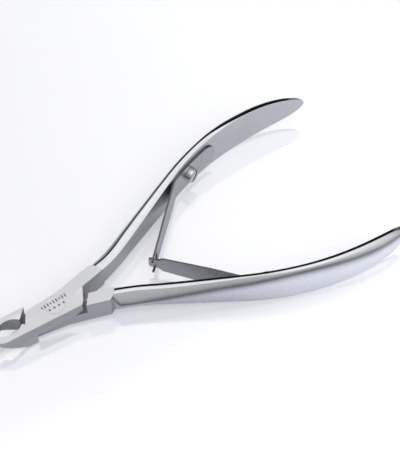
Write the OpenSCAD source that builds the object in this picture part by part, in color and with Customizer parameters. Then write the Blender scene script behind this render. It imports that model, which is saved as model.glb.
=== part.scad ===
// Cuticle nipper with a lap joint and two interlocking leaf springs.
// The levers are drawn with the jaws closed, the pivot axis along Z and the joint centred on Z = 0.
// They are then turned open by half_open each, and the joint's underside is set on Z = 0.

/* [Joint] */
// Thickness of the joint, the necks and the jaws
joint_t = 6.5; // [6.3:0.1:7.2]
// Width of the joint across the pivot
joint_w = 6.6; // [6.4:0.1:7]
// Angle that each lever is open at rest
half_open = 3.7; // [3:0.1:4]
// Clearance between the two lapped faces
lap_gap = 0.04; // [0.02:0.01:0.1]
// Radius of the pivot rivet
rivet_r = 1.7; // [1.4:0.1:1.9]
// Radius of the rivet's flush heads
rivet_head_r = 2.4; // [2.2:0.1:2.6]
// Depth of the rivet's flush heads
rivet_head_h = 1; // [0.6:0.1:1.2]
// Running clearance around the rivet in the top lever
rivet_clear = 0.03; // [0.01:0.01:0.08]

/* [Jaws] */
// Gap between each cutting edge and the middle when the jaws are shut
cut_gap = 0.02; // [0.01:0.01:0.05]
// Distance from the pivot to where the rounded nose begins
nose_start = 12.6; // [12.4:0.1:13]
// Radius of the rounded nose
nose_r = 5.12; // [5:0.02:5.3]
// Radius of the hollow ground between the jaws
hollow_r = 4.2; // [4:0.1:4.4]
// Depth of that hollow in each jaw
hollow_depth = 1.2; // [0.8:0.1:1.4]
// Distance from the pivot to the middle of the hollow
hollow_x = 11.7; // [11.5:0.1:11.9]
// Angle of the ground face under the jaws
flush_angle = 35.3; // [34:0.1:36]
// Distance from the pivot to where that face begins
flush_start = 9.1; // [8.8:0.1:9.4]
// Radius of the relief groove along that face
groove_r = 1.55; // [1.2:0.05:1.8]
// Length of the relief groove
groove_len = 5; // [4:0.1:5.2]
// Slope of the top of the nose
nose_slope = 8; // [4:0.5:9]

/* [Handles] */
// Length of the handle's inner face along its curve
handle_len = 75; // [72:0.5:78]
// Largest height of the handle
handle_h = 11.2; // [10:0.1:12]
// Height of the handle just past the neck
waist_h = 5.9; // [5.5:0.1:6.2]
// Distance along the handle to the waist
waist_at = 5; // [4:0.5:7]
// Distance along the handle to its highest part
crest_at = 44; // [40:1:48]
// Thickness of the handle at the neck
neck_depth = 4; // [3.8:0.1:4.2]
// Thickness of the handle at the highest part
grip_depth = 2.8; // [2.7:0.1:3.2]
// Thickness of the handle near its end
end_depth = 3.5; // [3:0.1:4]
// Bluntness of the handle's end: 2 is an ellipse, more is blunter
end_blunt = 2.6; // [2:0.1:3]

/* [Springs] */
// Thickness of the leaf springs
leaf_t = 0.5; // [0.4:0.05:0.7]
// Height of the leaf springs where they are screwed down
leaf_h = 6.6; // [6.2:0.1:7]
// Height of the rear spring at its forked tip
fork_h = 5.6; // [5.4:0.1:6]
// Height of the slot in the fork
slot_h = 4; // [3.9:0.1:4.2]
// Height of the front spring's tongue
tongue_h = 3.3; // [3:0.1:3.4]
// Distance from the pivot to the point where the springs cross
spring_cross = 26.4; // [25.5:0.1:27.5]
// Distance along the handle to the springs' bend
bend_at = 31.3; // [30.5:0.1:32]
// Distance along the handle to the springs' screw
screw_at = 37.4; // [36.5:0.1:38.5]
// Distance along the handle to the end of the spring's foot
foot_end = 47.2; // [46:0.1:49]
// Radius of the screw head
screw_head_r = 1.9; // [1.6:0.1:2.2]
// Height of the screw head above the spring
screw_head_h = 1.8; // [1.2:0.1:2.2]
// Radius of the screw's thread
screw_r = 1.2; // [1:0.1:1.4]

/* [Hidden] */
$fn = 64;
steel = [0.78, 0.78, 0.8];
spring_steel = [0.6, 0.6, 0.63];
screw_steel = [0.85, 0.85, 0.87];
half_t = joint_t / 2;
far = 30;

// Y of the straight outer face of the joint, parallel to X when the levers are at rest
function outer_y(x) = -(joint_w / 2 + x * tan(half_open));

// Corners seen from above with the jaws closed, for the lever whose jaw is on the -Y side.
// The lap plate's end beside the other jaw, from its outer corner to its inner corner.
plate_jaw_end = [[-6.4, 2.35], [-8.3, -0.65]];
// The lap plate's end beside the other neck, from its outer corner to the crotch.
plate_neck_end = [[5.3, outer_y(5.3)], [6.15, -2.7], [7.9, 0.6]];
// The shoulder behind the full-thickness jaw.
jaw_shoulder = [[-6.7, outer_y(-6.7)], [-8.65, -0.23]];
// The full-thickness neck, round from the inner end of its shoulder.
neck_wall = [[8.3, 0.7], [14.3, 1.85], [13.7, 3.5], [12.1, 4.75], [8.1, 3.9]];
neck_shoulder_out = [6.5, 3.6];
plate_back = [1.8, 2.7];
jaw_root_x = -9.3;

// How far the springs stand off the handle, and how deep the screw goes into it.
leaf_gap = 0.03;
screw_depth = grip_depth * 0.75;
// The screw head's slot.
slot_w = 0.8;
slot_depth = 0.6;
// Along a spring's arm: the gap at the bend, the length past the crossing point, and how far
// before that point the fork's slot begins, the tongue begins, its shoulder begins and the taper begins.
bend_gap = 0.2;
past_cross = 1.3;
slot_run = 2.6;
tongue_run = 1.3;
shoulder_run = 2.1;
shoulder_h = 5;
taper_run = 14;

nose_y = nose_r + outer_y(-nose_start);
hollow_y = hollow_r - hollow_depth;

// The handle starts this much lower than the neck that it grows out of.
neck_step = 0.3;
// The handle's inner face is a chain of arcs: length and turn of each, from the neck to the end.
handle_start = [13.2, 1.8];
handle_heading = 11.5;
handle_arcs = [[9.2, 12.5], [22.5, 0], [37.5, -34.5], [7, 3.5]];

function arc_chain_point(s, p = handle_start, heading = handle_heading, i = 0) =
    let (len = handle_arcs[i][0], turn = handle_arcs[i][1])
    s <= len || i == len(handle_arcs) - 1
        ? step_arc(p, heading, s, turn * s / len)
        : arc_chain_point(s - len, step_arc(p, heading, len, turn), heading + turn, i + 1);
function step_arc(p, heading, s, turn) =
    let (chord = turn == 0 ? s : s * sin(turn / 2) * 360 / (PI * turn))
    p + chord * [cos(heading + turn / 2), sin(heading + turn / 2)];
function handle_angle(s, heading = handle_heading, i = 0) =
    let (len = handle_arcs[i][0], turn = handle_arcs[i][1])
    s <= len || i == len(handle_arcs) - 1
        ? heading + turn * s / len
        : handle_angle(s - len, heading + turn, i + 1);
// A point at distance s along the handle's inner face and off outwards from it.
function beside_handle(s, off) =
    arc_chain_point(s) + off * [-sin(handle_angle(s)), cos(handle_angle(s))];

function smooth(t) = let (c = min(1, max(0, t))) c * c * (3 - 2 * c);
function mix(a, b, t) = a + (b - a) * t;
function half_height(s) =
    s < waist_at ? mix(joint_t - neck_step, waist_h, smooth(s / waist_at)) / 2
    : s < crest_at ? mix(waist_h, handle_h, smooth((s - waist_at) / (crest_at - waist_at))) / 2
    : handle_h / 2 * sqrt(max(0, 1 - pow((s - crest_at) / (handle_len - crest_at), end_blunt)));
function depth(s) =
    s < crest_at ? mix(neck_depth, grip_depth, smooth(s / crest_at))
    : mix(grip_depth, end_depth, smooth((s - crest_at) / (handle_len - crest_at) * 1.6))
      * sqrt(max(0, 1 - pow((s - crest_at) / (handle_len - crest_at), 8)));

stations = 40;
dome_steps = 12;
last_station = 86;
function station_s(i) = handle_len * sin(last_station * i / stations);

module handle() {
    ring = dome_steps + 1;
    points = [for (i = [0:stations], j = [0:dome_steps])
        let (s = station_s(i), a = -90 + 180 * j / dome_steps, p = beside_handle(s, depth(s) * cos(a)))
        [p.x, p.y, half_height(s) * sin(a)]];
    sides = [for (i = [0:stations - 1], j = [0:dome_steps - 1])
        [(i + 1) * ring + j, (i + 1) * ring + j + 1, i * ring + j + 1, i * ring + j]];
    inner = [for (i = [0:stations - 1])
        [(i + 1) * ring + dome_steps, (i + 1) * ring, i * ring, i * ring + dome_steps]];
    polyhedron(points, concat(sides, inner,
        [[for (j = [0:dome_steps]) j]], [[for (j = [dome_steps:-1:0]) stations * ring + j]]));
}

module jaw_nose_plan() {
    intersection() {
        translate([-nose_start, nose_y]) circle(nose_r, $fn = 128);
        translate([-far, -far - cut_gap]) square([far - nose_start, far]);
    }
}

module lap_plan() {
    polygon(concat(plate_jaw_end,
        [[jaw_root_x, -cut_gap], [-nose_start, -cut_gap], [-nose_start, outer_y(-nose_start)]],
        [jaw_shoulder[0]], plate_neck_end, neck_wall, [neck_shoulder_out, plate_back]));
    jaw_nose_plan();
}

module jaw_plan() {
    polygon(concat(jaw_shoulder,
        [[jaw_root_x, -cut_gap], [-nose_start, -cut_gap], [-nose_start, outer_y(-nose_start)]]));
    jaw_nose_plan();
}

module neck_plan() {
    polygon(concat(neck_wall, [neck_shoulder_out]));
}

// What is ground off a jaw: the ground face and its groove below, the slope above, the hollow.
module jaw_grinding() {
    rotate([90, 0, 0]) linear_extrude(2 * far, center = true) {
        polygon([[-flush_start, -half_t],
                 [-far, -half_t + (far - flush_start) * tan(flush_angle)], [-far, -far], [-flush_start, -far]]);
        polygon([[-nose_start, half_t],
                 [-far, half_t - (far - nose_start) * tan(nose_slope)], [-far, far], [-nose_start, far]]);
    }
    translate([-flush_start, 0, -half_t]) rotate([0, flush_angle - 90, 0]) {
        translate([0, 0, -1]) cylinder(h = groove_len + 1, r = groove_r);
        translate([0, 0, groove_len]) sphere(groove_r);
    }
    translate([-hollow_x, hollow_y, -far]) cylinder(h = 2 * far, r = hollow_r, $fn = 128);
}

module rivet_hole(clear) {
    translate([0, 0, -half_t]) cylinder(h = joint_t + 1, r = rivet_r + clear);
    translate([0, 0, half_t - rivet_head_h])
        cylinder(h = rivet_head_h, r1 = rivet_r + clear, r2 = rivet_head_r + clear);
}

// Places children on the handle's inner face, +Z pointing away from the handle.
module on_inner_face(s) {
    p = arc_chain_point(s);
    translate([p.x, p.y, 0]) rotate([0, 0, handle_angle(s)]) rotate([90, 0, 0]) children();
}

// A lever with its jaw on the -Y side. ground_side is 1 where the jaw is ground from below.
module lever(ground_side, clear) {
    difference() {
        union() {
            difference() {
                union() {
                    translate([0, 0, lap_gap / 2]) linear_extrude(half_t - lap_gap / 2) lap_plan();
                    translate([0, 0, -half_t]) linear_extrude(joint_t) jaw_plan();
                    translate([0, 0, -half_t]) linear_extrude(joint_t) neck_plan();
                }
                mirror([0, 0, ground_side > 0 ? 0 : 1]) jaw_grinding();
            }
            handle();
        }
        rivet_hole(clear);
        on_inner_face(screw_at) translate([0, 0, -screw_depth]) cylinder(h = screw_depth + 1, r = screw_r);
    }
}

module spring_foot() {
    steps = 12;
    function foot_s(i) = mix(bend_at, foot_end, i / steps);
    difference() {
        intersection() {
            translate([0, 0, -leaf_h / 2]) linear_extrude(leaf_h)
                polygon(concat([for (i = [0:steps]) beside_handle(foot_s(i), -leaf_gap)],
                               [for (i = [steps:-1:0]) beside_handle(foot_s(i), -leaf_gap - leaf_t)]));
            on_inner_face(foot_end - leaf_h / 2) {
                translate([-far, -far, -far]) cube([far, 2 * far, 2 * far]);
                translate([0, 0, -2]) cylinder(h = 4, r = leaf_h / 2);
            }
        }
        on_inner_face(screw_at) cylinder(h = 2, r = screw_r + 0.05);
    }
}

module spring_screw() {
    on_inner_face(screw_at) difference() {
        union() {
            translate([0, 0, -screw_depth + 0.2]) cylinder(h = screw_depth + 1, r = screw_r);
            translate([0, 0, leaf_gap + leaf_t + 0.02]) cylinder(h = screw_head_h, r = screw_head_r);
        }
        translate([-screw_head_r - 1, -slot_w / 2, leaf_gap + leaf_t + screw_head_h - slot_depth])
            cube([2 * screw_head_r + 2, slot_w, slot_depth + 1]);
    }
}

// The arm runs from the bend, which is on the handle at rest, to just past the crossing point.
bend_closed = beside_handle(bend_at, -leaf_gap - leaf_t / 2);
bend = [bend_closed.x * cos(half_open) - bend_closed.y * sin(half_open),
        bend_closed.x * sin(half_open) + bend_closed.y * cos(half_open)];
arm_run = norm(bend - [spring_cross, 0]);
arm_angle = atan2(-bend.y, spring_cross - bend.x);
arm_end = arm_run + past_cross;

// Lays an arm's outline along its line: edge is its upper half, as distance from the bend by height.
module arm_leaf(edge) {
    translate([bend.x, bend.y, 0]) rotate([0, 0, arm_angle]) rotate([90, 0, 0])
        linear_extrude(leaf_t, center = true) difference() {
            polygon(concat(edge, [for (i = [len(edge) - 1:-1:0]) [edge[i].x, -edge[i].y]]));
            children();
        }
}

module slotted_arm() {
    arm_leaf([[bend_gap, leaf_h / 2], [arm_run - slot_run, fork_h / 2], [arm_end, fork_h / 2]])
        translate([arm_run - slot_run, -slot_h / 2]) square([slot_run + far, slot_h]);
}

module tongue_arm() {
    arm_leaf([[bend_gap, leaf_h / 2], [arm_run - taper_run, leaf_h / 2],
              [arm_run - shoulder_run, shoulder_h / 2], [arm_run - tongue_run, tongue_h / 2],
              [arm_end, tongue_h / 2]]);
}

module on_underside() {
    translate([0, 0, half_t]) children();
}
// The top lever has its handle at the back and the bottom lever at the front.
module rear_side() {
    on_underside() rotate([0, 0, half_open]) children();
}
module front_side() {
    on_underside() rotate([0, 0, -half_open]) rotate([180, 0, 0]) children();
}

module top_lever() {
    color(steel) rear_side() lever(1, rivet_clear);
}

module bottom_lever() {
    color(steel) front_side() lever(-1, 0);
}

module pivot_rivet() {
    color(steel) on_underside() {
        translate([0, 0, -half_t]) cylinder(h = joint_t, r = rivet_r);
        for (side = [0, 1]) mirror([0, 0, side])
            translate([0, 0, half_t - rivet_head_h])
                cylinder(h = rivet_head_h, r1 = rivet_r, r2 = rivet_head_r);
    }
}

module rear_spring_foot() {
    color(spring_steel) rear_side() spring_foot();
}

module rear_spring_arm() {
    color(spring_steel) on_underside() slotted_arm();
}

module rear_spring_screw() {
    color(screw_steel) rear_side() spring_screw();
}

module front_spring_foot() {
    color(spring_steel) front_side() spring_foot();
}

module front_spring_arm() {
    color(spring_steel) on_underside() mirror([0, 1, 0]) tongue_arm();
}

module front_spring_screw() {
    color(screw_steel) front_side() spring_screw();
}

top_lever();
bottom_lever();
pivot_rivet();
rear_spring_foot();
rear_spring_arm();
rear_spring_screw();
front_spring_foot();
front_spring_arm();
front_spring_screw();
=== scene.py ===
import math

import bmesh
import bpy
from mathutils import Matrix, Vector


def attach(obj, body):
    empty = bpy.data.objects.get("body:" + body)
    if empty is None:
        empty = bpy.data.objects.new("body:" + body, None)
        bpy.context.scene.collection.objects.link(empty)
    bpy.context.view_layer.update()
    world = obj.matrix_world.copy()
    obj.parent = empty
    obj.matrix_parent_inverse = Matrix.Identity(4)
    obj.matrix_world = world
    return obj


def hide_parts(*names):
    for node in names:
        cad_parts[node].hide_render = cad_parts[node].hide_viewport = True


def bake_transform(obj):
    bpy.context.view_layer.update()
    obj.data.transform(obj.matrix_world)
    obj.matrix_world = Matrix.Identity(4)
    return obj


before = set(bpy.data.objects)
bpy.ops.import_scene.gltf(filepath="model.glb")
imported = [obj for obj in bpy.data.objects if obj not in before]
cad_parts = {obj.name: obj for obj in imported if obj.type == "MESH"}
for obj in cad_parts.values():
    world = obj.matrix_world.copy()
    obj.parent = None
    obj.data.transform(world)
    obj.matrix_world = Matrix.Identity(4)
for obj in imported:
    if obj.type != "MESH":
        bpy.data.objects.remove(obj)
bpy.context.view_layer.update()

# ---------------------------------------------------------------- sizes, in millimetres and degrees
# Levers are drawn as in the CAD: jaws closed, pivot axis along Z, joint centred on Z = 0.
MM = 0.001
HALF_T = 3.25
HALF_WIDTH = 3.3
HALF_OPEN = 3.7                          # how far each lever is turned off the middle line
LAP_GAP = 0.04
CUT_GAP = 0.02
FAR = 30.0                               # reach of the big cutting tools, past everything they cut
OVERCUT = 1.0                            # how far a small cutting tool reaches past the face it cuts

NOSE_START, NOSE_R = 12.6, 5.12
HOLLOW_R, HOLLOW_DEPTH, HOLLOW_X = 4.2, 1.2, 11.7
FLUSH_ANGLE, FLUSH_START = 35.3, 9.1
GROOVE_R, GROOVE_LEN = 1.55, 5.0
NOSE_SLOPE = 8.0
RIVET_R, RIVET_HEAD_R, RIVET_HEAD_H, RIVET_CLEAR = 1.7, 2.4, 1.0, 0.03
BLOCK_ROUND = 0.14

HANDLE_START = (13.2, 1.8)
HANDLE_HEADING = 11.5
HANDLE_ARCS = ((9.2, 12.5), (22.5, 0.0), (37.5, -34.5), (7.0, 3.5))     # length and turn of each arc
HANDLE_LEN, CREST_AT, WAIST_AT = 75.0, 44.0, 5.0
HANDLE_H, WAIST_H, NECK_H = 11.2, 5.9, 6.5
NECK_DEPTH, GRIP_DEPTH, END_DEPTH = 4.0, 2.8, 3.5
END_SWELL = 1.6                          # how soon past the crest the depth gets to END_DEPTH
END_BLUNT, DEPTH_BLUNT = 2.6, 8          # how blunt the handle's end is in height and in depth
NOSE_FROM, NOSE_RUN = -0.5, 2.6          # where the handle's rounded start begins, and its length
NOSE_HEIGHT, LEAST_DEPTH = 0.8, 0.2      # share of the height at that start, and the least depth
NOSE_STATIONS, HANDLE_STATIONS = 14, 110
END_TRIM = 0.02                          # the handle's solid stops this far short of its end
PROUD = 0.02                             # how far the inner face stands in front of its line

# Along the handle's inner edges, from the inner face outwards: a bevel, a flat land, on the rear
# handle a facet, then the domed back. The widths and tilts that are pairs are for the neck and for
# where the bevel has run out.
BEVEL_W, BEVEL_TILT = (0.95, 0.12), 24.5
REAR_RUN_OUT = (42.0, 58.0)              # where along the rear handle its bevel runs out
LAND_FADE = (12.0, 40.0)                 # where the land goes from its neck to its grip width
LAND_NECK, LAND_GRIP_REAR, LAND_GRIP_FRONT = 0.75, 0.0, 0.15
LAND_EXTRA = 0.1                         # added to the land's width, as a share of the bevel's
FACET_W, FACET_TILT = (0.55, 1.5), (25.0, 20.0)
FACET_FRONT = 0.02                       # what is left of the facet on the front handle
BEVEL_SHARE, BAND_SHARE = 0.3, 0.4       # the most of a section that the bevel, or another band, takes
EDGE_ROUND, CREASE_ROUND = 0.12, 0.15
CORNER_SHARE = 0.45                      # the most of a side that a rounded corner takes
DOME_TILT, DOME_LOW = 46.0, 0.12         # slope of the back beside the land, least share of the height
DOME_ROUNDNESS = 0.15                    # how round the front handle's back is at the neck
DOME_FADE = (28.0, 48.0)                 # where it goes from there to fully round
BEVELLED = 17                            # faces of a section from the inner face to the domed back

LEAF_T, LEAF_GAP, LEAF_H = 0.5, 0.03, 6.6
FORK_H, SLOT_H, TONGUE_H = 5.6, 4.0, 3.3
SPRING_CROSS, BEND_AT, SCREW_AT, FOOT_END = 26.4, 31.3, 37.4, 47.2
PAST_CROSS, SLOT_RUN, TONGUE_RUN = 1.3, 2.6, 1.3
SHOULDER_RUN, SHOULDER_H, TAPER_RUN, FORK_TAPER = 2.1, 5.0, 14.0, 14.0
TIP_ROUND, LEAST_HALF = 0.35, 0.35       # rounding of the leaf's tip, and the least half-height
SLOT_SHARE = 0.7                         # the most of the half-height that the slot's row takes
BEND_REACH = 0.55                        # how far the bend's curve reaches on either side
FOOT_STEPS, BEND_STEPS, ARM_STEPS = 28, 6, 46
LEAF_ROUND, LEAF_ROUND_ANGLE = 0.05, 50
LEAF_HOLE_CLEAR = 0.05

SCREW_R, SCREW_HEAD_R, SCREW_HEAD_H, SCREW_SLOT = 1.2, 1.9, 1.8, 0.7
SCREW_DEPTH = GRIP_DEPTH * 0.75
SEAT_GAP = 0.02
TIP_CHAMFER, SEAT_CHAMFER = 0.2, (0.1, 0.12)
SCREW_RIM = ((0.5, 0.0), (0.33, 0.05), (0.22, 0.16))     # below the head's top, and in from its side
CROWN_R, CROWN_DROP = 1.55, 0.16         # the head's domed crown
SLOT_REACH, SLOT_DEPTH, SLOT_TURN = 3.0, 0.6, 48.0

MARK_MIDDLE, MARK_WAY, MARK_UP = Vector((0.2, 0.15)), Vector((0.997, 0.075)), Vector((-0.075, 0.997))
MARK_LOW, MARK_HIGH, ROW_OFF = -0.01, 0.012, 0.75
BARS, BAR_STEP, BAR_HALF_W, BAR_LONG, BAR_SHORT = 9, 0.78, 0.16, 0.48, 0.3
DOTS, DOT_STEP, DOT_R = 4, 1.25, 0.27

REAR_PLACE = Matrix.Translation((0, 0, HALF_T)) @ Matrix.Rotation(math.radians(HALF_OPEN), 4, "Z")
FRONT_PLACE = (Matrix.Translation((0, 0, HALF_T)) @ Matrix.Rotation(math.radians(-HALF_OPEN), 4, "Z")
               @ Matrix.Rotation(math.pi, 4, "X"))

# ---------------------------------------------------------------- looks, with places in metres
SHARP_ANGLE = 38
NOISE_DETAIL, CLOUD_SCALE = 4.0, 160.0
WORN = (0.53, 0.62)                      # pointiness where an edge starts to be worn, and is worn
GRAIN_SHARE, CLOUD_SHARE = 0.6, 0.4      # parts of the grain and the clouds in the steel's tone
GRAIN_BUMP = 0.35

FLOOR_HALF, FLOOR_SLOPE = 3.0, -0.0297
FLOOR_LOW = -0.7                         # millimetres
GLOW_COLOR = (0.93, 0.94, 1.0, 1)
FLOOR_COLOR, FLOOR_GLOW = (0.80, 0.81, 0.92, 1), 0.80
FLOOR_GLOSS, FLOOR_GLOSS_COLOR, FLOOR_ROUGH = 0.56, (1.0, 0.98, 0.84, 1), 0.05

# What the steel sees of the floor: its glow along X, more of it at the front, and less at low angles.
BOUNCE_COLOR = (0.32, 0.33, 0.37, 1)
BOUNCE_GLOW, BOUNCE_X = (0.08, 0.36), (0.005, 0.08)
FRONT_GLOW, FRONT_Y = (0.32, 0), (-0.034, -0.018)
LOW_GLOW, LOW_X = (0.06, 0.24), (0.07, 0.16)
LOW_FACING = (0.42, 0.85)

# Studio brightness by height above the horizon (0 to 1), as shares of STUDIO_LIGHT.
BEHIND = [(0.0, 0.005), (0.28, 0.01), (0.42, 0.35), (0.62, 0.62), (0.90, 0.85), (1.0, 1.0)]
FRONT_LEFT = [(0.0, 0.12), (0.10, 0.24), (0.25, 0.36), (0.70, 0.44), (0.90, 0.80), (1.0, 1.0)]
FRONT_RIGHT = [(0.0, 0.42), (0.10, 0.46), (0.25, 0.54), (0.70, 0.70), (0.90, 0.85), (1.0, 1.0)]
STUDIO_LIGHT = 1.2
STUDIO_TINT = (0.985, 0.99, 1)
LEFT_TO_RIGHT, FRONT_TO_BEHIND = (0.0, 0.5), (-0.3, 0.3)

SOFTBOX_AIM = (0.03, 0, 0)
LENS, SENSOR = 110.0, 36.0
CAMERA_SPOT, CAMERA_TURN = (-0.05121, -0.16338, 0.28445), (34.018, 1.092, -30.590)


# ---------------------------------------------------------------- small maths
def mix(a, b, t):
    return a + (b - a) * t


def clamp(t):
    return min(1.0, max(0.0, t))


def smooth(t):
    t = clamp(t)
    return t * t * (3 - 2 * t)


def outer_y(x):
    """Y of the joint's straight outer face."""
    return -(HALF_WIDTH + x * math.tan(math.radians(HALF_OPEN)))


def handle_frame(s):
    """Point on the handle's inner face at distance s along it, and the heading there in degrees."""
    point, heading = Vector(HANDLE_START), HANDLE_HEADING
    for i, (length, turn) in enumerate(HANDLE_ARCS):
        step = s if s <= length or i == len(HANDLE_ARCS) - 1 else length
        bend = turn * step / length
        half = math.radians(bend / 2)
        chord = step if abs(half) < 1e-9 else step * math.sin(half) / half
        way = math.radians(heading) + half
        point = point + chord * Vector((math.cos(way), math.sin(way)))
        heading += bend
        s -= step
        if s <= 0:
            break
    return point, heading


def beside_handle(s, off):
    point, heading = handle_frame(s)
    a = math.radians(heading)
    return point + off * Vector((-math.sin(a), math.cos(a)))


def half_height(s):
    if s < WAIST_AT:
        return mix(NECK_H, WAIST_H, smooth(s / WAIST_AT)) / 2
    if s < CREST_AT:
        return mix(WAIST_H, HANDLE_H, smooth((s - WAIST_AT) / (CREST_AT - WAIST_AT))) / 2
    past_crest = (s - CREST_AT) / (HANDLE_LEN - CREST_AT)
    return HANDLE_H / 2 * math.sqrt(max(0.0, 1 - past_crest ** END_BLUNT))


def depth(s):
    if s < CREST_AT:
        return mix(NECK_DEPTH, GRIP_DEPTH, smooth(s / CREST_AT))
    t = (s - CREST_AT) / (HANDLE_LEN - CREST_AT)
    return mix(GRIP_DEPTH, END_DEPTH, smooth(END_SWELL * t)) * math.sqrt(max(0.0, 1 - t ** DEPTH_BLUNT))


def arc_points(cx, cy, rx, ry, start, end, count):
    """Points on an ellipse's arc, angles in degrees."""
    angles = [math.radians(mix(start, end, i / count)) for i in range(count + 1)]
    return [(cx + rx * math.cos(a), cy + ry * math.sin(a)) for a in angles]


def circle_points(cx, cy, r, count):
    return arc_points(cx, cy, r, r, 0, 360, count)[:-1]


def curve_points(start, corner, end, steps):
    """Points of the smooth curve from start to end that leaves and arrives along the lines to the corner."""
    return [mix(mix(start, corner, t), mix(corner, end, t), t) for t in steps]


def shares(count):
    return [i / count for i in range(count + 1)]


# ---------------------------------------------------------------- mesh tools
def make_object(name, points, faces, materials=()):
    mesh = bpy.data.meshes.new(name)
    mesh.from_pydata([tuple(p) for p in points], [], faces)
    mesh.validate()
    for material in materials:
        mesh.materials.append(material)
    obj = bpy.data.objects.new(name, mesh)
    bpy.context.scene.collection.objects.link(obj)
    return obj


def edit_mesh(obj, change):
    """Runs change(bm) on the object's mesh."""
    bm = bmesh.new()
    bm.from_mesh(obj.data)
    change(bm)
    bm.to_mesh(obj.data)
    bm.free()


def face_outwards(bm):
    bmesh.ops.recalc_face_normals(bm, faces=bm.faces)


def loft(name, rings, materials=()):
    """A closed solid through rings of equal point count, with a flat face at each end."""
    count = len(rings[0])
    points = [p for ring in rings for p in ring]
    faces = [(i * count + j, i * count + (j + 1) % count,
              (i + 1) * count + (j + 1) % count, (i + 1) * count + j)
             for i in range(len(rings) - 1) for j in range(count)]
    faces.append(tuple(range(count - 1, -1, -1)))
    faces.append(tuple((len(rings) - 1) * count + j for j in range(count)))
    obj = make_object(name, points, faces, materials)
    edit_mesh(obj, face_outwards)
    return obj


def prism(name, outline, low, high, upright=False, materials=()):
    """The outline in XY raised along Z, or upright in XZ and raised along Y."""
    place = (lambda a, b, c: (a, c, b)) if upright else (lambda a, b, c: (a, b, c))
    return loft(name, [[place(a, b, c) for a, b in outline] for c in (low, high)], materials)


def turned(name, profile, place, sides, materials=()):
    """A turned solid from (height, radius) pairs about local Z."""
    rings = [[place @ Vector((*p, z)) for p in circle_points(0, 0, r, sides)] for z, r in profile]
    return loft(name, rings, materials)


def apply_modifier(obj, kind, **settings):
    modifier = obj.modifiers.new(kind, kind)
    for key, value in settings.items():
        setattr(modifier, key, value)
    bpy.context.view_layer.objects.active = obj
    bpy.ops.object.modifier_apply(modifier=modifier.name)


def combine(obj, tool, operation):
    """Boolean of obj and tool, in place. The tool is used up."""
    apply_modifier(obj, "BOOLEAN", operation=operation, solver="EXACT", object=tool)
    bpy.data.objects.remove(tool)


def tidy_faces(obj, angle=0.6):
    """Merges the points and flat faces that a boolean leaves split."""
    def change(bm):
        bmesh.ops.remove_doubles(bm, verts=bm.verts, dist=0.002)
        bmesh.ops.dissolve_limit(bm, angle_limit=math.radians(angle), verts=bm.verts, edges=bm.edges)
        face_outwards(bm)
    edit_mesh(obj, change)


def round_edges(obj, width, angle=30):
    apply_modifier(obj, "BEVEL", width=width, segments=2, limit_method="ANGLE",
                   angle_limit=math.radians(angle), use_clamp_overlap=True)


def shade(obj):
    """Smooth shading that keeps sharp edges sharp and flat faces flat."""
    def change(bm):
        bmesh.ops.remove_doubles(bm, verts=bm.verts, dist=0.0005)
        bmesh.ops.dissolve_degenerate(bm, edges=bm.edges, dist=0.0005)
        for face in bm.faces:
            face.smooth = True
        for edge in bm.edges:
            edge.smooth = (len(edge.link_faces) == 2
                           and edge.calc_face_angle(0) < math.radians(SHARP_ANGLE))
    edit_mesh(obj, change)
    apply_modifier(obj, "WEIGHTED_NORMAL", keep_sharp=True, weight=80)


def to_frame(obj, place):
    """Moves a piece from its drawing place, in millimetres, to the row frame, in metres."""
    obj.data.transform(Matrix.Scale(MM, 4) @ place)


def finish_piece(obj, place, body, slot, *nodes):
    shade(obj)
    to_frame(obj, place)
    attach(obj, body)
    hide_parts(*nodes)


# ---------------------------------------------------------------- materials
def new_material(name):
    material = bpy.data.materials.new(name)
    material.use_nodes = True
    return material, material.node_tree, material.node_tree.nodes["Principled BSDF"]


def feed(tree, socket, value):
    """Gives a socket a number or a colour, or links another node's output to it."""
    if isinstance(value, bpy.types.NodeSocket):
        tree.links.new(value, socket)
    else:
        socket.default_value = value


def noise_at(tree, scale, stretch=(1, 1, 1)):
    """A noise value in object space. Stretch draws it out along X, Y or Z."""
    place = tree.nodes.new("ShaderNodeTexCoord")
    mapping = tree.nodes.new("ShaderNodeMapping")
    mapping.inputs["Scale"].default_value = stretch
    noise = tree.nodes.new("ShaderNodeTexNoise")
    noise.inputs["Scale"].default_value = scale
    noise.inputs["Detail"].default_value = NOISE_DETAIL
    tree.links.new(place.outputs["Object"], mapping.inputs["Vector"])
    tree.links.new(mapping.outputs["Vector"], noise.inputs["Vector"])
    return noise.outputs["Fac"]


def spread(tree, value, result, source=(0.3, 0.7)):
    """Maps a value from the source range to the result range."""
    change = tree.nodes.new("ShaderNodeMapRange")
    ends = {"From Min": source[0], "From Max": source[1], "To Min": result[0], "To Max": result[1]}
    for key, number in ends.items():
        change.inputs[key].default_value = number
    tree.links.new(value, change.inputs["Value"])
    return change.outputs["Result"]


def math_node(tree, operation, first, second):
    node = tree.nodes.new("ShaderNodeMath")
    node.operation = operation
    tree.links.new(first, node.inputs[0])
    tree.links.new(second, node.inputs[1])
    return node.outputs[0]


def blend_colors(tree, factor, low, high):
    """Mixes two colours, each given as numbers or as a socket."""
    blend = tree.nodes.new("ShaderNodeMix")
    blend.data_type = "RGBA"
    tree.links.new(factor, blend.inputs["Factor"])
    feed(tree, blend.inputs["A"], low)
    feed(tree, blend.inputs["B"], high)
    return blend.outputs["Result"]


def bump(tree, shader, height, strength, distance):
    node = tree.nodes.new("ShaderNodeBump")
    node.inputs["Strength"].default_value = strength
    node.inputs["Distance"].default_value = distance
    tree.links.new(height, node.inputs["Height"])
    tree.links.new(node.outputs["Normal"], shader.inputs["Normal"])


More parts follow.
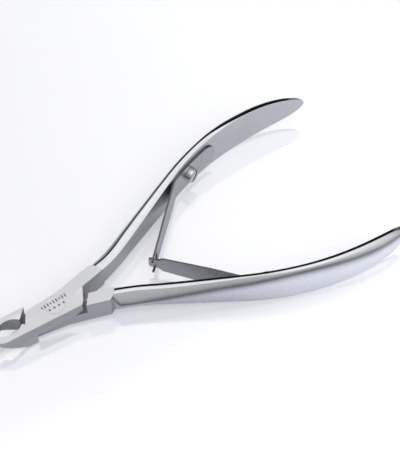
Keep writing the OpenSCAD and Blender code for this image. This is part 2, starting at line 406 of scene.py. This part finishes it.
def lit_white(tree, color, glow):
    """Diffuse white with light coming through it. The glow is a number or a socket."""
    base = tree.nodes.new("ShaderNodeBsdfDiffuse")
    base.inputs["Color"].default_value = color
    both = tree.nodes.new("ShaderNodeAddShader")
    tree.links.new(base.outputs[0], both.inputs[0])
    tree.links.new(glow_shader(tree, glow), both.inputs[1])
    return both.outputs[0]


def glow_shader(tree, strength):
    through = tree.nodes.new("ShaderNodeEmission")
    through.inputs["Color"].default_value = GLOW_COLOR
    feed(tree, through.inputs["Strength"], strength)
    return through.outputs[0]


def mix_shaders(tree, factor, first, second, output="Material Output"):
    """Mixes two shaders into the output's surface. The factor is a number or a socket."""
    blend = tree.nodes.new("ShaderNodeMixShader")
    feed(tree, blend.inputs["Fac"], factor)
    tree.links.new(first, blend.inputs[1])
    tree.links.new(second, blend.inputs[2])
    tree.links.new(blend.outputs[0], tree.nodes[output].inputs["Surface"])


def steel(name, dark, light, rough, grain, grain_stretch, grain_depth):
    """Steel with a fine grain, cloudy changes of tone and gloss, and brighter worn edges."""
    material, tree, shader = new_material(name)
    shader.inputs["Metallic"].default_value = 1.0
    fine = noise_at(tree, grain, grain_stretch)
    clouds = noise_at(tree, CLOUD_SCALE)
    geometry = tree.nodes.new("ShaderNodeNewGeometry")
    worn = spread(tree, geometry.outputs["Pointiness"], (0.0, 1.0), WORN)
    grain_tone = spread(tree, fine, (0.0, GRAIN_SHARE))
    cloud_tone = spread(tree, clouds, (0.0, CLOUD_SHARE))
    lightness = math_node(tree, "MAXIMUM", math_node(tree, "ADD", grain_tone, cloud_tone), worn)
    color = blend_colors(tree, lightness, (*dark, 1), (*light, 1))
    tree.links.new(color, shader.inputs["Base Color"])
    tree.links.new(spread(tree, clouds, rough), shader.inputs["Roughness"])
    bump(tree, shader, fine, GRAIN_BUMP, grain_depth)
    return material


def floor_material():
    """Glossy white acrylic, lit from below: diffuse white under a mirror-like sheen."""
    material, tree, shader = new_material("white_acrylic")
    tree.nodes.remove(shader)
    gloss = tree.nodes.new("ShaderNodeBsdfGlossy")
    gloss.inputs["Color"].default_value = FLOOR_GLOSS_COLOR
    gloss.inputs["Roughness"].default_value = FLOOR_ROUGH
    mix_shaders(tree, FLOOR_GLOSS, lit_white(tree, FLOOR_COLOR, FLOOR_GLOW), gloss.outputs[0])
    return material


def bounce_material():
    """What the steel sees of the floor: lit from below, and darker where it is seen at a low angle."""
    material, tree, shader = new_material("white_bounce")
    tree.nodes.remove(shader)
    place = tree.nodes.new("ShaderNodeTexCoord")
    parts = tree.nodes.new("ShaderNodeSeparateXYZ")
    tree.links.new(place.outputs["Object"], parts.inputs[0])
    along = spread(tree, parts.outputs["X"], BOUNCE_GLOW, BOUNCE_X)
    in_front = spread(tree, parts.outputs["Y"], FRONT_GLOW, FRONT_Y)
    lit = lit_white(tree, BOUNCE_COLOR, math_node(tree, "ADD", along, in_front))
    dark = glow_shader(tree, spread(tree, parts.outputs["X"], LOW_GLOW, LOW_X))
    angle = tree.nodes.new("ShaderNodeLayerWeight")
    angle.inputs["Blend"].default_value = 0.5
    mix_shaders(tree, spread(tree, angle.outputs["Facing"], (0, 1), LOW_FACING), lit, dark)
    return material


EVEN, BRUSHED = (1, 1, 1), (0.12, 1, 1)
satin = steel("satin_steel", (0.615, 0.615, 0.62), (0.80, 0.80, 0.81), rough=(0.26, 0.34),
              grain=5200.0, grain_stretch=EVEN, grain_depth=0.00001)
polished = steel("polished_steel", (0.77, 0.78, 0.81), (0.87, 0.88, 0.91), rough=(0.07, 0.12),
                 grain=2600.0, grain_stretch=BRUSHED, grain_depth=0.000004)
spring_steel = steel("spring_steel", (0.54, 0.54, 0.555), (0.70, 0.70, 0.715), rough=(0.26, 0.36),
                     grain=3200.0, grain_stretch=(0.2, 1, 1), grain_depth=0.000006)
screw_steel = steel("screw_steel", (0.66, 0.66, 0.67), (0.84, 0.84, 0.85), rough=(0.05, 0.09),
                    grain=3000.0, grain_stretch=EVEN, grain_depth=0.000005)
# Painted shade: near-black steel on the spring leaves' thin edges, standing in for the shadow in the gap
# along them.
leaf_edge_shade = steel("leaf_edge_painted_shade", (0.10, 0.10, 0.105), (0.20, 0.20, 0.205), rough=(0.32, 0.45),
                grain=3200.0, grain_stretch=(0.3, 1, 1), grain_depth=0.000006)
buffed = steel("buffed_steel", (0.75, 0.765, 0.80), (0.85, 0.865, 0.90), rough=(0.25, 0.29),
               grain=2600.0, grain_stretch=BRUSHED, grain_depth=0.000002)
# Painted shade: dark steel for the lap's face, which lies in shadow between the two levers.
lap_shade = steel("lap_painted_shade", (0.16, 0.155, 0.15), (0.26, 0.255, 0.25), rough=(0.42, 0.55),
               grain=2600.0, grain_stretch=(0.2, 1, 1), grain_depth=0.00001)
etched = steel("etched_mark", (0.10, 0.10, 0.10), (0.24, 0.23, 0.22), rough=(0.5, 0.6),
               grain=6000.0, grain_stretch=EVEN, grain_depth=0.000004)
LEVER_STEELS = (satin, polished, lap_shade, buffed)
SATIN, POLISHED, LAP_SHADE, BUFFED = range(4)


# ---------------------------------------------------------------- the levers
def nose_arc():
    """The rounded nose of the jaw, from the tip back to the straight outer face."""
    centre_y = NOSE_R + outer_y(-NOSE_START)
    tip = 180 - math.degrees(math.asin((-CUT_GAP - centre_y) / NOSE_R))
    return arc_points(-NOSE_START, centre_y, NOSE_R, NOSE_R, tip, 270, 20)


# Corners of the lever's outline, anticlockwise from the lap plate's inner corner beside the jaw.
JAW_NOTCH = [(-6.4, 2.35), (-8.3, -0.65)]
JAW_ROOT = (-9.3, -CUT_GAP)
JAW_SHOULDER = [(-6.7, outer_y(-6.7)), (-8.65, -0.23)]
LAP_HEEL = [(5.3, outer_y(5.3)), (6.15, -2.7), (7.9, 0.6)]
NECK_WALL = [(8.3, 0.7), (14.3, 1.85), (13.7, 3.5), (12.1, 4.75), (8.1, 3.9)]
NECK_SHOULDER = (6.5, 3.6)
LAP_SIDE = (1.8, 2.7)


def lap_outline():
    jaw = JAW_NOTCH + [JAW_ROOT] + nose_arc() + [JAW_SHOULDER[0]]
    return jaw + LAP_HEEL + NECK_WALL + [NECK_SHOULDER, LAP_SIDE]


def lever_block():
    """Lap plate, jaw and neck with lightly rounded edges."""
    block = prism("lever", lap_outline(), LAP_GAP / 2, HALF_T, materials=LEVER_STEELS)
    jaw = prism("jaw", [JAW_SHOULDER[1], JAW_ROOT] + nose_arc() + [JAW_SHOULDER[0]], -HALF_T, HALF_T)
    neck = prism("neck", NECK_WALL + [NECK_SHOULDER], -HALF_T, HALF_T)
    combine(block, jaw, "UNION")
    combine(block, neck, "UNION")
    tidy_faces(block)
    round_edges(block, BLOCK_ROUND)
    return block


def grind_jaw(block, ground_side):
    """Grinds the face under the jaw, its relief groove, the slope of the nose and the hollow.
    The ground side is 1 where that face is below as drawn, and -1 where it is above."""
    g = ground_side
    rise = (FAR - FLUSH_START) * math.tan(math.radians(FLUSH_ANGLE))
    drop = (FAR - NOSE_START) * math.tan(math.radians(NOSE_SLOPE))
    face = [(-FLUSH_START, -HALF_T * g), (-FAR, (rise - HALF_T) * g),
            (-FAR, -FAR * g), (-FLUSH_START, -FAR * g)]
    slope = [(-NOSE_START, HALF_T * g), (-FAR, (HALF_T - drop) * g),
             (-FAR, FAR * g), (-NOSE_START, FAR * g)]
    combine(block, prism("face", face, -FAR, FAR, upright=True), "DIFFERENCE")
    combine(block, prism("slope", slope, -FAR, FAR, upright=True), "DIFFERENCE")
    combine(block, relief_groove(g), "DIFFERENCE")
    circle = circle_points(-HOLLOW_X, HOLLOW_R - HOLLOW_DEPTH, HOLLOW_R, 96)
    combine(block, prism("hollow", circle, -FAR, FAR), "DIFFERENCE")


def relief_groove(g):
    """A round-ended bar along the ground face."""
    a = math.radians(FLUSH_ANGLE)
    way = Vector((-math.cos(a), 0, math.sin(a) * g))
    across = Vector((math.sin(a), 0, math.cos(a) * g))
    start = Vector((-FLUSH_START, 0, -HALF_T * g))
    profile = [(-OVERCUT, GROOVE_R), (0.0, GROOVE_R)]
    profile += arc_points(GROOVE_LEN, 0, GROOVE_R, GROOVE_R, 90, 4, 12)
    rings = [[start + way * u + r * (math.cos(t) * across + math.sin(t) * Vector((0, 1, 0)))
              for t in (math.tau * k / 48 for k in range(48))] for u, r in profile]
    return loft("groove", rings)


def rivet_hole():
    profile = [(-HALF_T, RIVET_R), (HALF_T - RIVET_HEAD_H, RIVET_R),
               (HALF_T, RIVET_HEAD_R), (HALF_T + OVERCUT, RIVET_HEAD_R)]
    return turned("rivet_hole", [(z, r + RIVET_CLEAR) for z, r in profile], Matrix.Identity(4), 72)


def rounded_corner(before, corner, after, reach):
    """Points of a smooth curve that cuts the corner, starting and ending at most reach from it."""
    before, corner, after = Vector(before), Vector(corner), Vector(after)
    a = corner + (before - corner) * min(CORNER_SHARE, reach / (before - corner).length)
    b = corner + (after - corner) * min(CORNER_SHARE, reach / (after - corner).length)
    return [tuple(p) for p in curve_points(a, corner, b, shares(4))]


def dome_points(start_off, h, d, roundness, count=20):
    """The domed back from the land's edge to the middle: it leaves the land at DOME_TILT degrees
    where roundness is 0, and is half an ellipse where it is 1."""
    sag = d - start_off
    start, end = Vector((start_off, h)), Vector((d, 0.0))
    corner = Vector((d, max(DOME_LOW * h, h - sag * math.tan(math.radians(DOME_TILT)))))
    sloped = curve_points(start, corner, end, shares(count))
    ellipse = arc_points(start_off, 0, sag, h, 90, 0, count)
    return [tuple(mix(a, Vector(b), roundness)) for a, b in zip(sloped, ellipse)]


def handle_section(s, rear):
    """The handle's outline across: flat inner face, bevel, land, facet and domed back, top and bottom
    alike. The rear handle's bevel runs out towards its end, where its back comes up to the inner face."""
    swell = math.sqrt(max(0.0, 1 - (1 - clamp((s - NOSE_FROM) / NOSE_RUN)) ** 2))
    h = half_height(max(0.0, s)) * mix(NOSE_HEIGHT, 1, swell)
    d = max(LEAST_DEPTH, depth(max(0.0, s)) * swell)
    run_out = smooth((s - REAR_RUN_OUT[0]) / (REAR_RUN_OUT[1] - REAR_RUN_OUT[0])) if rear else 0.0
    bevel = min(mix(*BEVEL_W, run_out), BEVEL_SHARE * h, BEVEL_SHARE * d)
    fade = smooth((s - LAND_FADE[0]) / (LAND_FADE[1] - LAND_FADE[0]))
    land_width = mix(LAND_NECK, LAND_GRIP_REAR if rear else LAND_GRIP_FRONT, fade)
    land = bevel + min(land_width, BAND_SHARE * d) + LAND_EXTRA * bevel
    facet = land + (min(mix(*FACET_W, run_out), BAND_SHARE * d) if rear else FACET_FRONT)
    inner, low = (0.0, 0.0), (0.0, h - bevel * math.tan(math.radians(BEVEL_TILT)))
    shoulder = (facet, h - (facet - land) * math.tan(math.radians(mix(*FACET_TILT, run_out))))
    rounding = smooth((s - DOME_FADE[0]) / (DOME_FADE[1] - DOME_FADE[0]))
    dome = dome_points(*shoulder, d, 0.0 if rear else mix(DOME_ROUNDNESS, 1, rounding))
    upper = rounded_corner(inner, low, (bevel, h), EDGE_ROUND)
    upper += rounded_corner(low, (bevel, h), (land, h), EDGE_ROUND)
    upper += rounded_corner((bevel, h), (land, h), shoulder, CREASE_ROUND)
    upper += rounded_corner((land, h), shoulder, dome[2], CREASE_ROUND) + dome[2:]
    return upper + [(off, -z) for off, z in reversed(upper[:-1])]


def handle_solid(rear):
    """The handle, with its sections closer together at both ends."""
    stations = [NOSE_FROM + NOSE_RUN * (1 - math.cos(math.pi / 2 * i / NOSE_STATIONS))
                for i in range(1, NOSE_STATIONS + 1)]
    first, last = stations[-1], HANDLE_LEN - END_TRIM
    stations += [mix(first, last, math.sin(math.pi / 2 * i / HANDLE_STATIONS))
                 for i in range(1, HANDLE_STATIONS + 1)]
    rings = [[(*beside_handle(s, off - PROUD), z) for off, z in handle_section(s, rear)]
             for s in stations]
    return loft("handle", rings, LEVER_STEELS)


def paint_handle(handle, points):
    """Satin inner face, polished bevels, land and facet, buffed back. Each ring has so many points."""
    for face in handle.data.polygons:
        place_in_ring = face.index % points
        if place_in_ring == points - 1:
            face.material_index = SATIN
        elif BEVELLED < place_in_ring < points - 2 - BEVELLED:
            face.material_index = BUFFED
        else:
            face.material_index = POLISHED


def paint_lap(lever):
    """Painted shade: the lap's face gets a dark steel, as if it were in shadow between the two levers."""
    for face in lever.data.polygons:
        if face.normal.z < -0.95 and abs(face.center.z - LAP_GAP / 2) < 0.01:
            face.material_index = LAP_SHADE


def make_lever(name, ground_side, place, body):
    lever = lever_block()
    grind_jaw(lever, ground_side)
    rear = ground_side > 0
    handle = handle_solid(rear)
    paint_handle(handle, len(handle_section(HANDLE_LEN / 2, rear)))
    combine(lever, handle, "UNION")
    paint_lap(lever)
    combine(lever, rivet_hole(), "DIFFERENCE")
    hole = turned("hole", [(-SCREW_DEPTH, SCREW_R), (OVERCUT, SCREW_R)], on_inner_face(SCREW_AT), 48)
    combine(lever, hole, "DIFFERENCE")
    lever.name = name + "_forging"
    finish_piece(lever, place, body, "lever_steel", name)


def on_inner_face(s):
    """Place on the handle's inner face, with local Z pointing away from the handle."""
    point, heading = handle_frame(s)
    return (Matrix.Translation((point.x, point.y, 0)) @ Matrix.Rotation(math.radians(heading), 4, "Z")
            @ Matrix.Rotation(math.radians(90), 4, "X"))


# ---------------------------------------------------------------- the springs
def spring_path():
    """Centre line of a leaf from the foot's end over the bend to the tip, in the open position,
    and the place of its bend."""
    rotate = Matrix.Rotation(math.radians(HALF_OPEN), 2)
    off = -LEAF_GAP - LEAF_T / 2
    foot = [rotate @ beside_handle(mix(FOOT_END, BEND_AT + BEND_REACH, t), off) for t in shares(FOOT_STEPS)]
    bend = rotate @ beside_handle(BEND_AT, off)
    to_cross = Vector((SPRING_CROSS, 0)) - bend
    way = to_cross.normalized()
    curve = curve_points(foot[-1], bend, bend + BEND_REACH * way, shares(BEND_STEPS)[1:-1])
    arm_end = to_cross.length + PAST_CROSS
    arm = [bend + way * mix(BEND_REACH, arm_end, t) for t in shares(ARM_STEPS)]
    return foot + curve + arm, bend


def leaf_half_height(along, total, forked):
    """Half-height of the leaf at a distance from the foot's end."""
    h = LEAF_H / 2
    if along < h:
        return math.sqrt(max(0.0, h * h - (h - along) ** 2))
    left = total - along - PAST_CROSS
    if forked:
        h = mix(FORK_H / 2, h, smooth((left - SLOT_RUN) / FORK_TAPER))
    elif left < SHOULDER_RUN:
        h = mix(TONGUE_H, SHOULDER_H, clamp((left - TONGUE_RUN) / (SHOULDER_RUN - TONGUE_RUN))) / 2
    else:
        h = mix(SHOULDER_H / 2, h, min(1.0, (left - SHOULDER_RUN) / (TAPER_RUN - SHOULDER_RUN)))
    into_tip = max(0.0, TIP_ROUND - (total - along))
    return h - (TIP_ROUND - math.sqrt(max(0.0, TIP_ROUND ** 2 - into_tip ** 2)))


def leaf_columns(path, forked):
    """For each station: centre, side direction, heights of the rows across the leaf, and whether
    it is in the fork's slot."""
    lengths = [0.0]
    for a, b in zip(path, path[1:]):
        lengths.append(lengths[-1] + (b - a).length)
    total, columns = lengths[-1], []
    for i, point in enumerate(path):
        way = (path[min(i + 1, len(path) - 1)] - path[max(i - 1, 0)]).normalized()
        h = max(LEAST_HALF, leaf_half_height(lengths[i], total, forked))
        inner = min(SLOT_H / 2, SLOT_SHARE * h)
        rows = [-h, -inner, -inner / 2, inner / 2, inner, h]
        in_slot = forked and total - lengths[i] - PAST_CROSS < SLOT_RUN
        columns.append((point, Vector((-way.y, way.x)), rows, in_slot))
    return columns


def leaf_mesh(name, columns):
    """A closed strip. Cells inside the fork's slot are left out."""
    rows = len(columns[0][2])
    points = [(*(p + side * LEAF_T / 2 * sign), z)
              for sign in (-1, 1) for p, side, zs, _ in columns for z in zs]
    solid = {(i, j) for i in range(len(columns) - 1) for j in range(rows - 1)
             if not (columns[i][3] and 1 <= j <= rows - 3)}
    layer = len(columns) * rows

    def spot(i, j, k):
        return k * layer + i * rows + j
    faces = []
    for i, j in sorted(solid):
        quad = [(i, j), (i + 1, j), (i + 1, j + 1), (i, j + 1)]
        faces.append([spot(*q, 0) for q in quad])
        faces.append([spot(*q, 1) for q in reversed(quad)])
        sides = (((i, j - 1), quad[0], quad[1]), ((i + 1, j), quad[1], quad[2]),
                 ((i, j + 1), quad[2], quad[3]), ((i - 1, j), quad[3], quad[0]))
        faces += [[spot(*a, 1), spot(*b, 1), spot(*b, 0), spot(*a, 0)]
                  for cell, a, b in sides if cell not in solid]
    leaf = make_object(name, points, faces, (spring_steel, leaf_edge_shade))
    # Faces that join both sides of the strip are its thin edges; they get the near-black steel, which is
    # painted shade.
    for face in leaf.data.polygons:
        sides_touched = {v // layer for v in face.vertices}
        face.material_index = 1 if len(sides_touched) == 2 else 0

    def clean(bm):
        bmesh.ops.delete(bm, geom=[v for v in bm.verts if not v.link_faces], context="VERTS")
        face_outwards(bm)
    edit_mesh(leaf, clean)
    return leaf


def make_spring(name, forked, flip):
    path, bend = spring_path()
    leaf = leaf_mesh(name + "_leaf", leaf_columns(path, forked))
    rear_turn = Matrix.Rotation(math.radians(HALF_OPEN), 4, "Z")
    hole_r = SCREW_R + LEAF_HOLE_CLEAR
    hole_place = rear_turn @ on_inner_face(SCREW_AT)
    hole = turned("hole", [(-OVERCUT, hole_r), (2 * OVERCUT, hole_r)], hole_place, 40)
    combine(leaf, hole, "DIFFERENCE")
    round_edges(leaf, LEAF_ROUND, LEAF_ROUND_ANGLE)
    shade(leaf)
    place = Matrix.Translation((0, 0, HALF_T))
    to_frame(leaf, place @ Matrix.Rotation(math.pi, 4, "X") if flip else place)
    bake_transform(leaf)
    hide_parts(name + "_foot", name + "_arm")


# ---------------------------------------------------------------- the screws
def make_screw(name, place, body):
    """A slotted cheese-head screw with a domed, chamfered head."""
    seat = LEAF_GAP + LEAF_T + SEAT_GAP
    top = seat + SCREW_HEAD_H
    spot = on_inner_face(SCREW_AT)
    tip = TIP_CHAMFER - SCREW_DEPTH
    shank = [(tip, SCREW_R - TIP_CHAMFER), (tip + TIP_CHAMFER, SCREW_R), (seat, SCREW_R)]
    under_head = [(seat, SCREW_HEAD_R - SEAT_CHAMFER[1]), (seat + SEAT_CHAMFER[0], SCREW_HEAD_R)]
    rim = [(top - below, SCREW_HEAD_R - inset) for below, inset in SCREW_RIM]
    crown = [(top - CROWN_DROP * (r / CROWN_R) ** 2, r) for r in (CROWN_R, 1.2, 0.8, 0.4, 0.05)]
    screw = turned(name, shank + under_head + rim + crown, spot, 64, (screw_steel,))
    half = SCREW_SLOT / 2
    outline = [(-SLOT_REACH, -half), (SLOT_REACH, -half), (SLOT_REACH, half), (-SLOT_REACH, half)]
    slot_place = spot @ Matrix.Rotation(math.radians(SLOT_TURN), 4, "Z")
    slot = loft("slot", [[slot_place @ Vector((x, y, z)) for x, y in outline]
                         for z in (top - SLOT_DEPTH, top + OVERCUT)])
    combine(screw, slot, "DIFFERENCE")
    screw.name = name + "_slotted"
    finish_piece(screw, place, body, "screw_steel", name)


# ---------------------------------------------------------------- the mark on the joint
def mark_outlines():
    """A plain row of short bars, every third one shorter, over a row of round dots."""
    outlines = []
    for i in range(BARS):
        spot = MARK_MIDDLE + MARK_WAY * (i - (BARS - 1) / 2) * BAR_STEP + MARK_UP * ROW_OFF
        half = BAR_LONG if i % 3 else BAR_SHORT
        outlines.append([spot + MARK_WAY * a * BAR_HALF_W + MARK_UP * b * half
                         for a, b in ((-1, -1), (1, -1), (1, 1), (-1, 1))])
    for i in range(DOTS):
        spot = MARK_MIDDLE + MARK_WAY * (i - (DOTS - 1) / 2) * DOT_STEP - MARK_UP * ROW_OFF
        outlines.append([spot + Vector(p) for p in circle_points(0, 0, DOT_R, 16)])
    return outlines


def make_marks():
    """Thin etched plates on top of the joint, all in one piece."""
    points, faces = [], []
    for outline in mark_outlines():
        start, count = len(points), len(outline)
        points += [(p.x, p.y, z) for z in (MARK_LOW, MARK_HIGH) for p in outline]
        faces.append([start + k for k in reversed(range(count))])
        faces.append([start + count + k for k in range(count)])
        faces += [[start + k, start + (k + 1) % count, start + count + (k + 1) % count, start + count + k]
                  for k in range(count)]
    marks = make_object("etched_marks", points, faces, (etched,))
    to_frame(marks, Matrix.Translation((0, 0, 2 * HALF_T)))
    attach(marks, "top")


# ---------------------------------------------------------------- build the object
make_lever("top_lever", 1, REAR_PLACE, "top")
make_lever("bottom_lever", -1, FRONT_PLACE, "bottom")
make_spring("rear_spring", forked=True, flip=False)
make_spring("front_spring", forked=False, flip=True)
make_screw("rear_spring_screw", REAR_PLACE, "top")
make_screw("front_spring_screw", FRONT_PLACE, "bottom")
make_marks()
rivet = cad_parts["pivot_rivet"]
for material_slot in rivet.material_slots:
    material_slot.material = satin


# ---------------------------------------------------------------- floor, light and camera
def add_floor():
    """One sheet for the camera and one for the object's reflections and bounced light."""
    corners = [(-FLOOR_HALF, -FLOOR_HALF), (FLOOR_HALF, -FLOOR_HALF),
               (FLOOR_HALF, FLOOR_HALF), (-FLOOR_HALF, FLOOR_HALF)]
    points = [(x, y, FLOOR_LOW * MM + FLOOR_SLOPE * x) for x, y in corners]
    seen = make_object("floor", points, [(0, 1, 2, 3)], (floor_material(),))
    bounce = make_object("floor_bounce", points, [(0, 1, 2, 3)], (bounce_material(),))
    seen.visible_glossy = seen.visible_diffuse = seen.visible_transmission = seen.visible_shadow = False
    bounce.visible_camera = bounce.visible_shadow = False


def ramp_node(tree, value, stops):
    ramp = tree.nodes.new("ShaderNodeValToRGB")
    elements = ramp.color_ramp.elements
    while len(elements) < len(stops):
        elements.new(0.5)
    for element, (position, level) in zip(elements, stops):
        element.position = position
        element.color = (*(level * tint for tint in STUDIO_TINT), 1)
    tree.links.new(value, ramp.inputs["Fac"])
    return ramp.outputs["Color"]


def add_studio():
    """Studio walls that the steel reflects. The camera itself sees white."""
    world = bpy.data.worlds.new("studio")
    bpy.context.scene.world = world
    world.use_nodes = True
    tree = world.node_tree
    place = tree.nodes.new("ShaderNodeTexCoord")
    parts = tree.nodes.new("ShaderNodeSeparateXYZ")
    tree.links.new(place.outputs["Generated"], parts.inputs[0])
    left, right, behind = (ramp_node(tree, parts.outputs["Z"], stops)
                           for stops in (FRONT_LEFT, FRONT_RIGHT, BEHIND))
    front = blend_colors(tree, spread(tree, parts.outputs["X"], (0, 1), LEFT_TO_RIGHT), left, right)
    around = blend_colors(tree, spread(tree, parts.outputs["Y"], (0, 1), FRONT_TO_BEHIND), front, behind)
    studio = tree.nodes["Background"]
    studio.inputs["Strength"].default_value = STUDIO_LIGHT
    tree.links.new(around, studio.inputs["Color"])
    seen = tree.nodes.new("ShaderNodeBackground")
    seen.inputs["Color"].default_value = (1, 1, 1, 1)
    path = tree.nodes.new("ShaderNodeLightPath")
    mix_shaders(tree, path.outputs["Is Camera Ray"], studio.outputs[0], seen.outputs[0], "World Output")


def add_softbox(name, spot, size, power):
    light = bpy.data.lights.new(name, "AREA")
    light.shape, light.size, light.size_y, light.energy = "RECTANGLE", size[0], size[1], power
    lamp = bpy.data.objects.new(name, light)
    lamp.location = spot
    lamp.rotation_mode = "QUATERNION"
    lamp.rotation_quaternion = (Vector(SOFTBOX_AIM) - Vector(spot)).to_track_quat("-Z", "Y")
    lamp.visible_glossy = False
    bpy.context.scene.collection.objects.link(lamp)


def add_camera():
    data = bpy.data.cameras.new("camera")
    data.lens, data.sensor_width = LENS, SENSOR
    data.clip_start, data.clip_end = 0.01, 10.0
    camera = bpy.data.objects.new("camera", data)
    camera.location = CAMERA_SPOT
    camera.rotation_euler = [math.radians(a) for a in CAMERA_TURN]
    bpy.context.scene.collection.objects.link(camera)
    bpy.context.scene.camera = camera


add_floor()
add_studio()
add_softbox("key_softbox", (0.25, -0.45, 0.75), (1.0, 0.8), 5.0)
add_camera()
bpy.context.scene.view_settings.view_transform = "Standard"
